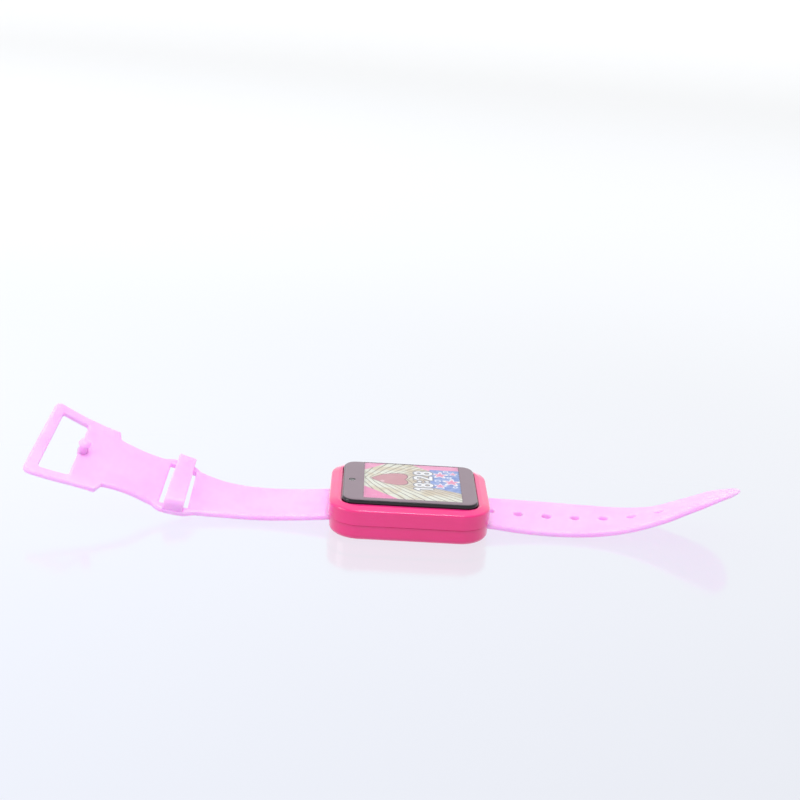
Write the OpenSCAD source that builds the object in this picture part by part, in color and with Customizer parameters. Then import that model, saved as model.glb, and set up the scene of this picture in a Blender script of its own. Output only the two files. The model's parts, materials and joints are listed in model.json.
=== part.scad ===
// Toy smart watch, lying on its back with its soft strap spread out.
// X runs along the strap: -X is the 12 o'clock end (buckle), +X the 6 o'clock end (holes).
// +Y is the 3 o'clock side, +Z comes out of the screen. z = 0 is the flat case back.

/* [Case] */
// Length of the case, 12 o'clock end to 6 o'clock end
case_l = 45.4; // [45:0.1:46.4]
// Width of the case, 9 o'clock side to 3 o'clock side
case_w = 37.5; // [37.3:0.1:38.3]
// Corner radius of the case in plan
case_r = 8.8; // [8.4:0.1:9.2]
// Height of the line where the two housings meet
split_z = 4.7; // [4.6:0.05:4.75]
// Height of the case's top edge round the screen
case_top = 9.75; // [9.6:0.05:9.85]
// How much the lower housing is set in from the upper one
split_step = 0.2; // [0:0.05:0.3]
// Radius of the rounded edge round the case back
back_r = 1.6; // [1.2:0.1:2.2]

/* [Screen] */
// Length of the screen glass
lens_l = 38.2; // [37.8:0.1:38.3]
// Width of the screen glass
lens_w = 30.6; // [30.4:0.1:31]
// Corner radius of the screen glass in plan
lens_r = 3.6; // [3:0.1:5]
// Height of the top of the screen glass
lens_top = 11.0; // [10.8:0.05:11.2]
// Side of the square lit picture
picture_w = 27.7; // [26:0.1:27.8]
// Offset of the picture towards 6 o'clock
picture_x = 0.8; // [0.5:0.1:1]
// Offset of the picture towards 3 o'clock
picture_y = 0.6; // [0.3:0.1:0.6]
// Distance of the selfie camera from the centre, towards 12 o'clock
camera_x = 16.5; // [16.3:0.1:16.6]

/* [Strap] */
// Width of the strap
strap_w = 20; // [19:0.1:20]
// Thickness of the strap
strap_t = 1.8; // [1.7:0.1:2]
// Length of the tail strap outside the case
tail_l = 74.3; // [70:0.1:76]
// Number of holes in the tail strap
hole_n = 7; // [5:1:7]
// Distance between neighbouring holes
hole_pitch = 8.3; // [8:0.1:8.5]
// Distance of the first hole from the case
hole_first = 0.9; // [0.8:0.1:1.5]
// Diameter of a hole in the tail strap
hole_d = 2.7; // [2.5:0.1:3]
// Diameter of the peg that goes through a hole
peg_d = 2.5; // [2.2:0.1:2.6]
// Width of the buckle frame
frame_w = 25.6; // [25.4:0.1:26.2]
// Distance of the buckle frame's outer end from the case
frame_end = 85.6; // [85.4:0.1:86.4]

/* [Side parts] */
// Distance of the side button from the centre, towards 12 o'clock
button_x = 8; // [7:0.5:8]
// Length of the side button
button_l = 7; // [6:0.5:7]
// How far the side button goes in
button_travel = 0.35; // [0.2:0.05:0.35]

/* [Hidden] */
$fn = 64;
EPS = 0.01;

hot_pink = [0.90, 0.25, 0.55];
strap_pink = [1.00, 0.78, 0.98];
glass_black = [0.05, 0.05, 0.07];

// Walls and levels of the case
wall = 1.5;                                 // upper housing's side wall
low_wall = 2.2;                             // lower housing's side wall
floor_t = 1.3;                              // case back
deck_z = 7.4;                               // underside of the deck below the screen
deck_t = 0.9;
deck_top = deck_z + deck_t;
wall_top = 8.45;                            // where the side wall ends and the shoulder starts
gap = 0.3;                                  // gap round the screen glass
shoulder_in = 2.2;                          // plan width of the rounded shoulder
groove_h = 0.2;                             // shadow line between the two housings
groove_in = 0.25;

// Screen stack, from the deck up
bond_t = 0.2;
lens_z = deck_top + bond_t;
lens_skin = 0.5;                            // glass over the picture
sheet_t = 0.1;                              // printed mask and picture
panel_top = lens_top - lens_skin - sheet_t;
panel_x0 = -13.9;
panel_x1 = 17.3;
panel_y0 = -13.9;
panel_y1 = 14.7;
camera_w = 3.4;

// Circuit board
board_z = split_z + 0.05;
board_t = 0.8;
board_top = board_z + board_t;
board_l = 27.6;
board_w = 31.4;
post_x = 11.6;                              // the two screws that hold the board
post_y = 11.2;
post_r = 0.6;
chip_h = 0.9;

// Strap pins and the pockets they sit in
pin_x = case_l / 2 - 2.5;
pin_z = 3.0;
pin_r = 0.75;
tip_r = 0.4;                                // thin end of a spring bar
tip_reach = 11.4;                           // how far it goes into the case, from the middle
bore_r = pin_r + 0.05;
barrel_r = 1.65;
pocket_x = pin_x - 2.3;
pocket_w = strap_w + 0.7;
pocket_top = split_z + 0.25;
pocket_wall = 1.2;
cheek_y = 12;                               // outer side of the pocket's end walls

// Housing screws
screw_x = 16.6;
screw_y = 14.4;
boss_r = 2.0;
screw_r = 0.7;
head_r = 1.3;
head_z = 0.5;
head_t = 0.8;
screw_top = 6.8;
well_play = 0.15;                           // room round a screw and its head

// Side button and its slot, in the 3 o'clock wall
button_z = 6.2;
button_h = 1.8;
button_out = 0.7;
button_play = 0.15;
flange_y = case_w / 2 - wall - 0.15;
flange_t = 0.8;
flange_l = button_l + 2.4;
switch_l = 4.8;
switch_h = 1.5;
nub_half = 0.8;                             // half the length of the switch's nub

// Charging socket and its rubber flap, in the 3 o'clock wall
flap_x = 1.0;                               // 12 o'clock end of the flap's seat
flap_l = 11.0;
flap_z0 = 4.95;
flap_z1 = 7.55;
flap_t = 0.7;
knuckle_r = flap_t / 2;
seat_play = 0.15;                           // room round the flap
plug_h = 1.55;                              // the flap's plug, which fills the socket's mouth
socket_x = flap_x + 5.65;
socket_z = 5.05;
socket_w = 7.5;
socket_h = 2.3;
socket_d = 4.8;
socket_t = 0.25;                            // its shell

// Sound holes and other small things in the back
speaker_y = -10.5;
sound_r = 0.5;
sound_pitch = 2.4;
mic_x = -13;
mic_y = -11;

// ---------- plan outlines and profiled solids ----------

function arc(cx, cy, r, from, to, steps = 6) =
    [for (i = [0:steps]) let (a = from + (to - from) * i / steps) [cx + r * cos(a), cy + r * sin(a)]];

module round_rect(l, w, r) {
    square([l, w - 2 * r], center = true);
    square([l - 2 * r, w], center = true);
    for (x = [-1, 1], y = [-1, 1])
        translate([x * (l / 2 - r), y * (w / 2 - r)]) circle(r);
}

module plate(l, w, r, z0, z1) {
    translate([0, 0, z0]) linear_extrude(z1 - z0) round_rect(l, w, r);
}

module block(x0, x1, y0, y1, z0, z1) {
    translate([x0, y0, z0]) cube([x1 - x0, y1 - y0, z1 - z0]);
}

// A block with round corners in plan whose side follows a profile of [distance out, height]
module profiled(l, w, r, z0, z1, profile) {
    inner_l = l - 2 * r;
    inner_w = w - 2 * r;
    for (x = [-1, 1], y = [-1, 1])
        translate([x * inner_l / 2, y * inner_w / 2, 0]) rotate_extrude() polygon(profile);
    for (turn = [0, 180]) rotate([0, 0, turn]) {
        translate([inner_l / 2, 0, 0]) rotate([90, 0, 0])
            linear_extrude(inner_w, center = true) polygon(profile);
        translate([0, inner_w / 2, 0]) rotate([90, 0, 90])
            linear_extrude(inner_l, center = true) polygon(profile);
    }
    block(-inner_l / 2, inner_l / 2, -inner_w / 2, inner_w / 2, z0, z1);
}

module at_screws() {
    for (x = [-screw_x, screw_x], y = [-screw_y, screw_y]) translate([x, y, 0]) children();
}

module at_both_ends() {
    for (turn = [0, 180]) rotate([0, 0, turn]) children();
}

// ---------- housings ----------

module upper_body() {
    edge_r = 0.75;
    slope = atan((case_top - wall_top - edge_r) / (shoulder_in - edge_r));
    profiled(case_l, case_w, case_r, split_z, case_top, concat(
        [[0, split_z], [case_r, split_z]],
        arc(case_r - edge_r, wall_top, edge_r, 0, 90 - slope),
        [[case_r - shoulder_in, case_top], [0, case_top]]));
}

module upper_hollow() {
    difference() {
        union() {
            plate(case_l - 2 * wall, case_w - 2 * wall, case_r - wall, split_z - 1, deck_z);
            plate(case_l - wall, case_w - wall, case_r - wall / 2, split_z - 1, split_z + 0.7);
        }
        at_both_ends() block(pocket_x - pocket_wall, case_l, -cheek_y, cheek_y, pocket_top, case_top);
        at_both_ends() block(pin_x + 1, case_l, -cheek_y, cheek_y, split_z, case_top);
        at_screws() cylinder(r = boss_r, h = case_top);
    }
}

module upper_housing() color(hot_pink) difference() {
    upper_body();
    upper_hollow();
    plate(lens_l + 2 * gap, lens_w + 2 * gap, lens_r + gap, deck_top, case_top + 1);
    at_screws() translate([0, 0, split_z - 1]) cylinder(r = screw_r, h = screw_top - split_z + 1);
    block(11.9, 12.9, -5.5, 5.5, deck_z - 1, deck_top + 1);
    translate([-camera_x, 0, deck_z - 1]) linear_extrude(deck_t + 2)
        square(camera_w + 0.4, center = true);
    // slot for the side button
    translate([-button_x, case_w / 2 - 5, button_z]) rotate([-90, 0, 0])
        linear_extrude(10) round_rect(button_l + 2 * button_play, button_h + 2 * button_play,
            button_h / 2 + button_play - EPS);
    // seat of the port flap, and the way through to the socket
    block(flap_x, flap_x + flap_l, case_w / 2 - flap_t - 0.05, case_w, flap_z0, flap_z1);
    block(socket_x - socket_w / 2 + 0.05, socket_x + socket_w / 2 - 0.05, case_w / 2 - 4, case_w,
        flap_z0 + 0.2, flap_z1 - 0.25);
}

module lower_body() {
    r = case_r - split_step;
    profiled(case_l - 2 * split_step, case_w - 2 * split_step, r, 0, split_z, concat(
        [[0, 0]], arc(r - 0.1 - back_r, back_r, back_r, -90, 0, 8),
        [[r, split_z - groove_h], [r - groove_in, split_z], [0, split_z]]));
}

// The tongue that stands inside the upper housing's wall
module tongue() {
    difference() {
        plate(case_l - wall - 0.1, case_w - wall - 0.1, case_r - wall / 2 - 0.05, split_z - 1, split_z + 0.6);
        plate(case_l - 2 * wall, case_w - 2 * wall, case_r - wall, split_z - 2, split_z + 1);
        at_both_ends() block(15, case_l, -cheek_y - 0.3, cheek_y + 0.3, split_z, split_z + 1);
        block(flap_x - 1, flap_x + flap_l + 1, 0, case_w, split_z, split_z + 1);
        block(-button_x - 6, -button_x + 6, 0, case_w, split_z, split_z + 1);
        at_screws() translate([0, 0, split_z]) cylinder(r = boss_r + 0.1, h = 1);
    }
}

module lower_housing() color(hot_pink) difference() {
    union() {
        difference() {
            lower_body();
            difference() {
                plate(case_l - 2 * low_wall, case_w - 2 * low_wall, case_r - low_wall, floor_t, split_z + 1);
                at_both_ends() block(pocket_x - pocket_wall, case_l, -cheek_y, cheek_y, 0, case_top);
                at_screws() cylinder(r = boss_r, h = case_top);
            }
        }
        tongue();
    }
    // strap pockets, open outwards and downwards, and the holes for the spring bars
    at_both_ends() block(pocket_x, case_l, -pocket_w / 2, pocket_w / 2, -1, case_top);
    at_both_ends() translate([pin_x, 0, pin_z]) rotate([90, 0, 0])
        cylinder(r = tip_r + 0.02, h = 2 * tip_reach, center = true);
    at_screws() translate([0, 0, -1]) cylinder(r = screw_r + well_play, h = case_top);
    at_screws() translate([0, 0, -1]) cylinder(r = head_r + well_play, h = head_z + head_t + 1);
    // three rows of sound holes, and the microphone's hole
    for (i = [-2:2]) translate([i * sound_pitch, speaker_y, -1]) cylinder(r = sound_r, h = 3);
    for (i = [-1.5:1.5], y = [-2.1, 2.1])
        translate([i * sound_pitch, speaker_y + y, -1]) cylinder(r = sound_r, h = 3);
    translate([mic_x, mic_y, -1]) cylinder(r = 0.4, h = 3);
}

// ---------- screen ----------

module screen_lens() color(glass_black) difference() {
    edge_r = 0.9;
    profiled(lens_l, lens_w, lens_r, lens_z, lens_top, concat([[0, lens_z], [lens_r, lens_z]],
        arc(lens_r - edge_r, lens_top - edge_r, edge_r, 0, 90, 8), [[0, lens_top]]));
    pocket_top_z = panel_top + sheet_t;
    block(panel_x0 - 0.2, panel_x1 + 0.2, panel_y0 - 0.2, panel_y1 + 0.2, 0, pocket_top_z);
    block(-camera_x - camera_w / 2 - 0.2, 0, -camera_w / 2 - 0.2, camera_w / 2 + 0.2, 0, pocket_top_z);
}

// Black print on the back of the glass, with a window for the picture and one for the camera
module lens_mask() color(glass_black) difference() {
    window_half = picture_w / 2 + 0.05;
    translate([0, 0, panel_top]) linear_extrude(sheet_t) polygon([[-camera_x - camera_w / 2, -camera_w / 2],
        [panel_x0 - 0.1, -camera_w / 2], [panel_x0 - 0.1, panel_y0], [panel_x1, panel_y0],
        [panel_x1, panel_y1], [panel_x0 - 0.1, panel_y1], [panel_x0 - 0.1, camera_w / 2],
        [-camera_x - camera_w / 2, camera_w / 2]]);
    block(picture_x - window_half, picture_x + window_half, picture_y - window_half,
        picture_y + window_half, panel_top - 1, lens_top);
    translate([-camera_x, 0, panel_top - 1]) cylinder(r = 1.15, h = 2);
}

module display_picture() color([0.95, 0.60, 0.78])
    translate([picture_x, picture_y, panel_top + sheet_t / 2])
        cube([picture_w, picture_w, sheet_t], center = true);

module display_panel() color([0.16, 0.17, 0.20])
    block(panel_x0, panel_x1, panel_y0, panel_y1, lens_z, panel_top);

module lens_adhesive() color([0.10, 0.10, 0.10]) difference() {
    plate(lens_l, lens_w, lens_r, deck_top, lens_z);
    block(panel_x0 - 0.1, panel_x1 + 0.1, panel_y0 + 0.1, panel_y1 - 0.1, 0, case_top);
    block(-camera_x - camera_w / 2 - 0.1, 0, -camera_w / 2 - 0.1, camera_w / 2 + 0.1, 0, case_top);
}

module display_pad() color([0.25, 0.25, 0.27])
    block(panel_x0 + 0.2, 11.4, panel_y0 + 0.4, panel_y1 - 0.4, deck_top, lens_z);

// A flat cable: a run along the panel's underside, a drop through the deck and a foot on the board
module display_flex() color([0.80, 0.52, 0.20]) translate([0, 5, 0]) rotate([90, 0, 0]) linear_extrude(10)
    polygon([[9.2, board_top], [12.45, board_top], [12.45, lens_z - 0.12], [16.4, lens_z - 0.12],
        [16.4, lens_z], [12.33, lens_z], [12.33, board_top + 0.12], [9.2, board_top + 0.12]]);

module camera_module() color([0.08, 0.08, 0.09]) {
    translate([-camera_x, 0, 0]) {
        block(-camera_w / 2, camera_w / 2, -camera_w / 2, camera_w / 2, deck_z + 0.1, panel_top - 0.5);
        translate([0, 0, deck_z + 0.1]) difference() {
            cylinder(r = 1.35, h = panel_top - deck_z - 0.1);
            translate([0, 0, panel_top - deck_z - 0.4]) cylinder(r1 = 0.5, r2 = 0.9, h = 0.31);
        }
    }
}

module camera_flex() color([0.80, 0.52, 0.20]) translate([0, 1.5, 0]) rotate([90, 0, 0]) linear_extrude(3)
    polygon([[-16.8, deck_z - 0.02], [-16.8, deck_z - 0.14], [-12.52, deck_z - 0.14], [-12.52, board_top],
        [-10.5, board_top], [-10.5, board_top + 0.12], [-12.4, board_top + 0.12], [-12.4, deck_z - 0.02]]);

// ---------- electronics ----------

module at_posts() {
    for (y = [-1, 1]) translate([-y * post_x, y * post_y, 0]) children();
}

module circuit_board() color([0.05, 0.35, 0.20]) difference() {
    block(-board_l / 2, board_l / 2, -board_w / 2, board_w / 2, board_z, board_top);
    block(socket_x - socket_w / 2 - 0.1, socket_x + socket_w / 2 + 0.1, case_w / 2 - wall - socket_d - 0.3,
        case_w, 0, case_top);
    at_posts() cylinder(r = post_r + 0.05, h = case_top);
}

// Processor, memory, radio, crystal and a row of capacitors
module board_chips() color([0.12, 0.12, 0.13]) {
    block(-7, 1, -6, 2, board_top, board_top + chip_h);
    block(2.5, 8, -7, -1, board_top, board_top + chip_h - 0.1);
    block(-3, 3, -13, -9, board_top, board_top + chip_h - 0.1);
    block(-9, -6.4, 5, 7, board_top, board_top + chip_h - 0.3);
    for (x = [-2:1.5:4]) block(x, x + 1, 5, 5.6, board_top, board_top + chip_h - 0.4);
}

// Two small screws hold the board to posts under the deck
module board_screws() color([0.75, 0.75, 0.78]) at_posts() {
    translate([0, 0, board_z - 0.4]) cylinder(r = 1.1, h = 0.4);
    translate([0, 0, board_z - 0.2]) cylinder(r = post_r, h = deck_z - board_z + 0.2);
}

module battery() color([0.78, 0.79, 0.82])
    translate([0, 6.0, 0]) plate(28, 19.5, 1, floor_t + bond_t, floor_t + bond_t + 2.8);

module battery_pad() color([0.95, 0.95, 0.90])
    block(-10, 10, -0.8, 13.2, floor_t, floor_t + bond_t);

module battery_leads() {
    for (x = [12, 13.2]) color(x > 12.5 ? [0.80, 0.10, 0.10] : [0.1, 0.1, 0.1])
        translate([x, -4.6, 2.4]) cylinder(r = 0.35, h = board_z - 2.4, $fn = 24);
}

module speaker() color([0.20, 0.20, 0.22]) translate([0, speaker_y, 0]) difference() {
    plate(18, 11, 2, floor_t, floor_t + 3);
    plate(14, 7, 1.5, floor_t - 1, floor_t + 0.6);
}

module microphone() color([0.82, 0.80, 0.70])
    block(mic_x - 0.7, mic_x + 1.8, mic_y - 1, mic_y + 1, board_z - 0.9, board_z);

module tact_switch() color([0.15, 0.15, 0.16]) translate([-button_x, 0, 0]) {
    front_y = flange_y - flange_t - button_travel - 0.05;
    block(-switch_l / 2, switch_l / 2, front_y - 2.8, front_y - 0.5, board_top, board_top + switch_h);
    block(-nub_half, nub_half, front_y - 0.6, front_y, button_z - 0.4, button_z + 0.4);
}

// A shell with a tongue in the middle of its mouth
module charge_socket() color([0.78, 0.78, 0.80]) translate([socket_x, 0, socket_z]) difference() {
    y1 = case_w / 2 - wall - 0.05;
    in_w = socket_w / 2 - socket_t - 0.05;
    in_top = socket_h - socket_t;
    block(-socket_w / 2, socket_w / 2, y1 - socket_d, y1, 0, socket_h);
    block(-in_w, in_w, y1 - 4, y1 + 1, socket_t, socket_t + 0.6);
    block(-in_w, in_w, y1 - 4, y1 + 1, in_top - 0.75, in_top);
    block(-in_w, in_w, y1 - 1.2, y1 + 1, socket_t, in_top);
}

module housing_screws() color([0.75, 0.75, 0.78]) at_screws() difference() {
    union() {
        translate([0, 0, head_z]) cylinder(r = head_r, h = head_t);
        translate([0, 0, head_z]) cylinder(r = screw_r, h = screw_top - head_z - 0.1);
    }
    for (turn = [0, 90]) translate([0, 0, head_z]) rotate([0, 0, turn])
        cube([1.6, 0.35, 0.8], center = true);
}

// ---------- side parts ----------

module side_button() color(hot_pink) translate([-button_x, 0, 0]) {
    translate([0, flange_y - 0.1, button_z]) rotate([-90, 0, 0])
        linear_extrude(case_w / 2 + button_out - flange_y + 0.1)
            round_rect(button_l, button_h, button_h / 2 - EPS);
    block(-flange_l / 2, flange_l / 2, flange_y - flange_t, flange_y,
        button_z - button_h / 2, button_z + button_h / 2);
}

module port_flap() color([0.86, 0.22, 0.50]) {
    axis_x = flap_x + seat_play + knuckle_r;
    axis_y = case_w / 2 - knuckle_r;
    z0 = flap_z0 + seat_play;
    z1 = flap_z1 - seat_play;
    plug_z = (z0 + z1) / 2 - plug_h / 2 - 0.02;
    block(axis_x, flap_x + flap_l - seat_play, axis_y - knuckle_r, axis_y + knuckle_r, z0, z1);
    translate([axis_x, axis_y, z0]) cylinder(r = knuckle_r, h = z1 - z0);
    block(socket_x - 3.2, socket_x + 3.2, axis_y - knuckle_r - 0.9, axis_y, plug_z, plug_z + plug_h);
    translate([flap_x + flap_l - 1.2, case_w / 2 - EPS, (z0 + z1) / 2]) rotate([-90, 0, 0])
        cylinder(r = 0.5, h = 0.25);
}

// ---------- straps ----------

// Middle line of each strap at every 10 mm of its length, starting 10 mm inside the case:
// [x, y, z, tilt in degrees that lifts the 3 o'clock edge]
TAIL_ROUTE = [[12.7, 0, 3.3, 0], [22.7, 0, 2.8, 0.5], [32.7, 0, 2.2, 3], [42.7, 0, 1.9, 3.5],
    [52.7, 0, 2.0, 1], [62.6, 0, 2.8, -5], [72.4, 0.1, 4.9, -12.5], [81.7, 0.5, 8.5, -16.5],
    [91.2, 0.9, 12, -18], [101.1, 1.1, 13, -17], [111, 1.3, 3, 15]];
BUCKLE_ROUTE = [[-12.7, 0, 3.8, 0], [-22.7, 0, 3.0, 0.5], [-32.7, 0.1, 2.2, 1], [-42.7, 0.3, 1.8, 2],
    [-52.6, 0.2, 2.5, 5], [-62.4, -0.4, 4.6, 14.5], [-72, -0.6, 7.3, 19], [-81.1, -1.6, 11.3, 17.5],
    [-90.6, -1.6, 14.4, 23], [-100, -1.9, 17.8, 30.5], [-109.2, -2, 21.8, 39.5], [-118.1, -2, 26.4, 47]];

function unit(v) = v / norm(v);
function smooth_mid(a, b, c, d, t) =
    0.5 * (2 * b + (c - a) * t + (2 * a - 5 * b + 4 * c - d) * t * t + (3 * b - a - 3 * c + d) * t * t * t);
function route_at(route, s) =
    let (u = s / 10 + 1, i = max(0, min(len(route) - 2, floor(u))),
        before = i > 0 ? route[i - 1] : 2 * route[0] - route[1],
        after = i + 2 < len(route) ? route[i + 2] : 2 * route[i + 1] - route[i])
    smooth_mid(before, route[i], route[i + 1], after, u - i);
function xyz(v) = [v.x, v.y, v[2]];

// [point, direction along the strap, direction to the 3 o'clock edge, direction out of its face]
function strap_frame(route, s) =
    let (here = route_at(route, s), along = unit(xyz(route_at(route, s + 0.2)) - xyz(route_at(route, s - 0.2))),
        level = unit(cross([0, 0, 1], along)) * (along.x > 0 ? 1 : -1),
        out = cross(along, level) * (along.x > 0 ? 1 : -1), tilt = here[3],
        across = level * cos(tilt) + out * sin(tilt))
    [xyz(here), along, across, cross(along, across) * (along.x > 0 ? 1 : -1)];

// One outline of the strap's section: a flat bar with rounded edges
function section(frame, half_w, t) =
    let (r = min(strap_edge_r, t * 0.35), middle = frame[0] + frame[3] * (strap_t - t) / 2)
    [for (q = [0:3], a = [0, 30, 60, 90])
        let (sc = q == 0 || q == 3 ? 1 : -1, sn = q < 2 ? 1 : -1, b = q * 90 + a)
        middle + frame[2] * (sc * (half_w - r) + r * cos(b)) + frame[3] * (sn * (t / 2 - r) + r * sin(b))];

// A solid through a row of outlines with the same number of points
module sweep(rings, flip) {
    m = len(rings[0]);
    n = len(rings);
    points = [for (ring = rings) for (p = ring) p];
    sides = [for (i = [0:n - 2], j = [0:m - 1]) let (k = (j + 1) % m)
        each [[i * m + j, i * m + k, (i + 1) * m + k], [i * m + j, (i + 1) * m + k, (i + 1) * m + j]]];
    caps = [[for (j = [m - 1:-1:0]) j], [for (j = [0:m - 1]) (n - 1) * m + j]];
    faces = concat(sides, caps);
    polyhedron(points, flip ? faces : [for (f = faces) [for (j = [len(f) - 1:-1:0]) f[j]]], convexity = 6);
}

// Puts its children at a place on a strap: X along it, Z out of its face
module on_strap(route, s) {
    f = strap_frame(route, s);
    side = cross(f[3], f[1]);
    multmatrix([for (i = [0:2]) [f[1][i], side[i], f[3][i], f[0][i]]]) children();
}

function round_end(d, r) = d >= r ? 0 : r - sqrt(max(0, r * r - (r - d) * (r - d)));
function ease(a, b, s) = let (t = max(0, min(1, (s - a) / (b - a)))) t * t * (3 - 2 * t);

strap_edge_r = 0.45;
root_s = -2.5;                              // the pin's axis, inside the case
tip_round = 8;                              // length over which the tail's end is rounded
tip_t = 0.8;                                // the tail thins to this at its end
function tail_half_w(s) = strap_w / 2 - round_end(tail_l - s, tip_round) * (strap_w / 2 - 1) / tip_round;
function tail_t(s) = strap_t - (strap_t - tip_t) * ease(tail_l - 14, tail_l + 4, s) - round_end(tail_l - s, 0.4);
TAIL_S = concat([for (s = [root_s:2.5:62.5]) s], [for (d = [9.5, 8, 6.5, 5, 3.8, 2.8, 1.9, 1.2, 0.6, 0.2, 0]) tail_l - d]);

module hinge_barrel() {
    translate([pin_x, 0, pin_z]) rotate([90, 0, 0]) cylinder(r = barrel_r, h = strap_w, center = true);
}

module hinge_bore() {
    translate([pin_x, 0, pin_z]) rotate([90, 0, 0]) cylinder(r = bore_r, h = strap_w + 2, center = true);
}

module tail_strap() color(strap_pink) difference() {
    union() {
        sweep([for (s = TAIL_S)
            section(strap_frame(TAIL_ROUTE, s), tail_half_w(s), tail_t(s))], false);
        hinge_barrel();
    }
    hinge_bore();
    for (k = [0:hole_n - 1]) on_strap(TAIL_ROUTE, hole_first + k * hole_pitch)
        cylinder(r = hole_d / 2, h = 8, center = true);
}

// Keeper: a window in the strap with a band bridging it
keeper_s = 43.9;
keeper_half = 4;                            // half the window's length
keeper_w = 17.3;
band_s = 43.8;
band_l = 5.5;
band_out = 11;
band_top = 4.4;
band_t = 1.6;

// Buckle frame: widened end with a window
frame_start = 64.7;
window_s0 = 73.9;
window_s1 = 82.2;
window_w = 20;
peg_top = 4.9;
peg_head_d = 3.4;

function buckle_half_w(s) = strap_w / 2
    + 1.3 * (ease(37.5, 41, s) - ease(47, 50.5, s))
    + (frame_w - strap_w) / 2 * ease(frame_start - 0.8, frame_start + 0.8, s)
    - round_end(frame_end - s, 2);
BUCKLE_S = concat([for (s = [root_s:2.5:35]) s], [for (s = [37:1:51]) s], [for (s = [53:2.5:63]) s],
    [for (s = [frame_start - 0.8:0.4:frame_start + 0.8]) s], [for (s = [68:2.4:84]) s],
    [for (d = [2, 1.5, 1, 0.6, 0.3, 0.1, 0]) frame_end - d]);

// An arch whose two legs end inside the strap
module band() {
    out_r = 1.6;
    in_x = band_out - band_t;
    in_y = band_top - band_t;
    rotate([90, 0, 90]) linear_extrude(band_l, center = true) polygon(concat(
        [[in_x, -0.3], [band_out, -0.3]], arc(band_out - out_r, band_top - out_r, out_r, 0, 90),
        arc(out_r - band_out, band_top - out_r, out_r, 90, 180), [[-band_out, -0.3], [-in_x, -0.3]],
        [[-in_x, in_y], [in_x, in_y]]));
}

// A stud whose wider, domed head snaps through a hole of the tail
module peg() {
    head_r = peg_head_d / 2;
    rotate_extrude() polygon(concat([[0, -0.4], [peg_d / 2, -0.4], [peg_d / 2, peg_top - 1.7],
        [head_r, peg_top - 1.2]], arc(0.6, peg_top - 1.1, head_r - 0.6, 0, 90), [[0, peg_top]]));
}

module buckle_strap() color(strap_pink) difference() {
    union() {
        sweep([for (s = BUCKLE_S)
            section(strap_frame(BUCKLE_ROUTE, s), buckle_half_w(s), strap_t - round_end(frame_end - s, 0.5))], true);
        mirror([1, 0, 0]) hinge_barrel();
        on_strap(BUCKLE_ROUTE, band_s) band();
        on_strap(BUCKLE_ROUTE, window_s0 - 1) peg();
    }
    mirror([1, 0, 0]) hinge_bore();
    on_strap(BUCKLE_ROUTE, keeper_s)
        cube([2 * keeper_half, keeper_w, 3], center = true);
    on_strap(BUCKLE_ROUTE, (window_s0 + window_s1) / 2) translate([0, 0, -2])
        linear_extrude(3.9) round_rect(window_s1 - window_s0, window_w, 0.8);
}

// Spring bar: a tube with a thin tip at each end
module spring_bar() rotate([90, 0, 0]) {
    cylinder(r = pin_r, h = pocket_w - 0.4, center = true);
    cylinder(r = tip_r, h = 2 * tip_reach - 0.2, center = true);
}

module buckle_pin() color([0.80, 0.80, 0.82]) translate([-pin_x, 0, pin_z]) spring_bar();

module tail_pin() color([0.80, 0.80, 0.82]) translate([pin_x, 0, pin_z]) spring_bar();

upper_housing();
lower_housing();
screen_lens();
lens_mask();
lens_adhesive();
display_picture();
display_panel();
display_pad();
display_flex();
camera_module();
camera_flex();
circuit_board();
board_chips();
board_screws();
battery();
battery_pad();
battery_leads();
speaker();
microphone();
tact_switch();
charge_socket();
housing_screws();
side_button();
port_flap();
buckle_pin();
tail_pin();
buckle_strap();
tail_strap();
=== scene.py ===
"""Looks of the toy smart watch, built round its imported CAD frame."""

import json
import math

import bmesh
import bpy
import numpy as np
from mathutils import Matrix, Vector, geometry

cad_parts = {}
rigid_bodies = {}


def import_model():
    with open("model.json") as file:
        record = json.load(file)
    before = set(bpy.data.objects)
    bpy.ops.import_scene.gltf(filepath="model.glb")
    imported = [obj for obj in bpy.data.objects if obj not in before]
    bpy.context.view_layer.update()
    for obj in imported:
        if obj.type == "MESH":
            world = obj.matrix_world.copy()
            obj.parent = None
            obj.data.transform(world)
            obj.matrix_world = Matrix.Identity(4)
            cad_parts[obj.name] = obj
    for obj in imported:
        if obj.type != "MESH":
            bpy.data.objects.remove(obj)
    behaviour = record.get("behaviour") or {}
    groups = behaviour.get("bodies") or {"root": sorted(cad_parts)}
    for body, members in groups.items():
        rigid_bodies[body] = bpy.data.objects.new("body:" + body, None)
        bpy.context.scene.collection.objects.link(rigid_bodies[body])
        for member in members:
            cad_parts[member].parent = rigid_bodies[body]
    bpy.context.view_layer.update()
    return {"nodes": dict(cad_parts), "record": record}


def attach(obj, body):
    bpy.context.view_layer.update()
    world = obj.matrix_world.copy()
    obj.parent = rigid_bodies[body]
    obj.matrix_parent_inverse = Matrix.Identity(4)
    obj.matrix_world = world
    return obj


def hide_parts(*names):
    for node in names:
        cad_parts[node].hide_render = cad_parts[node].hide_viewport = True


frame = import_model()
scene = bpy.context.scene
MM = 0.001


# ---------- camera ----------

CAMERA_DISTANCE = 410.0  # mm from the middle of the case back to the lens
CAMERA_PITCH, CAMERA_YAW, CAMERA_ROLL = (math.radians(a) for a in (17.99, -1.68, 3.68))
FOCAL_PIXELS = 1415.5  # for an 800 pixel wide frame
AIM = (407.2, 517.6)  # where the middle of the case back shows


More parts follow.
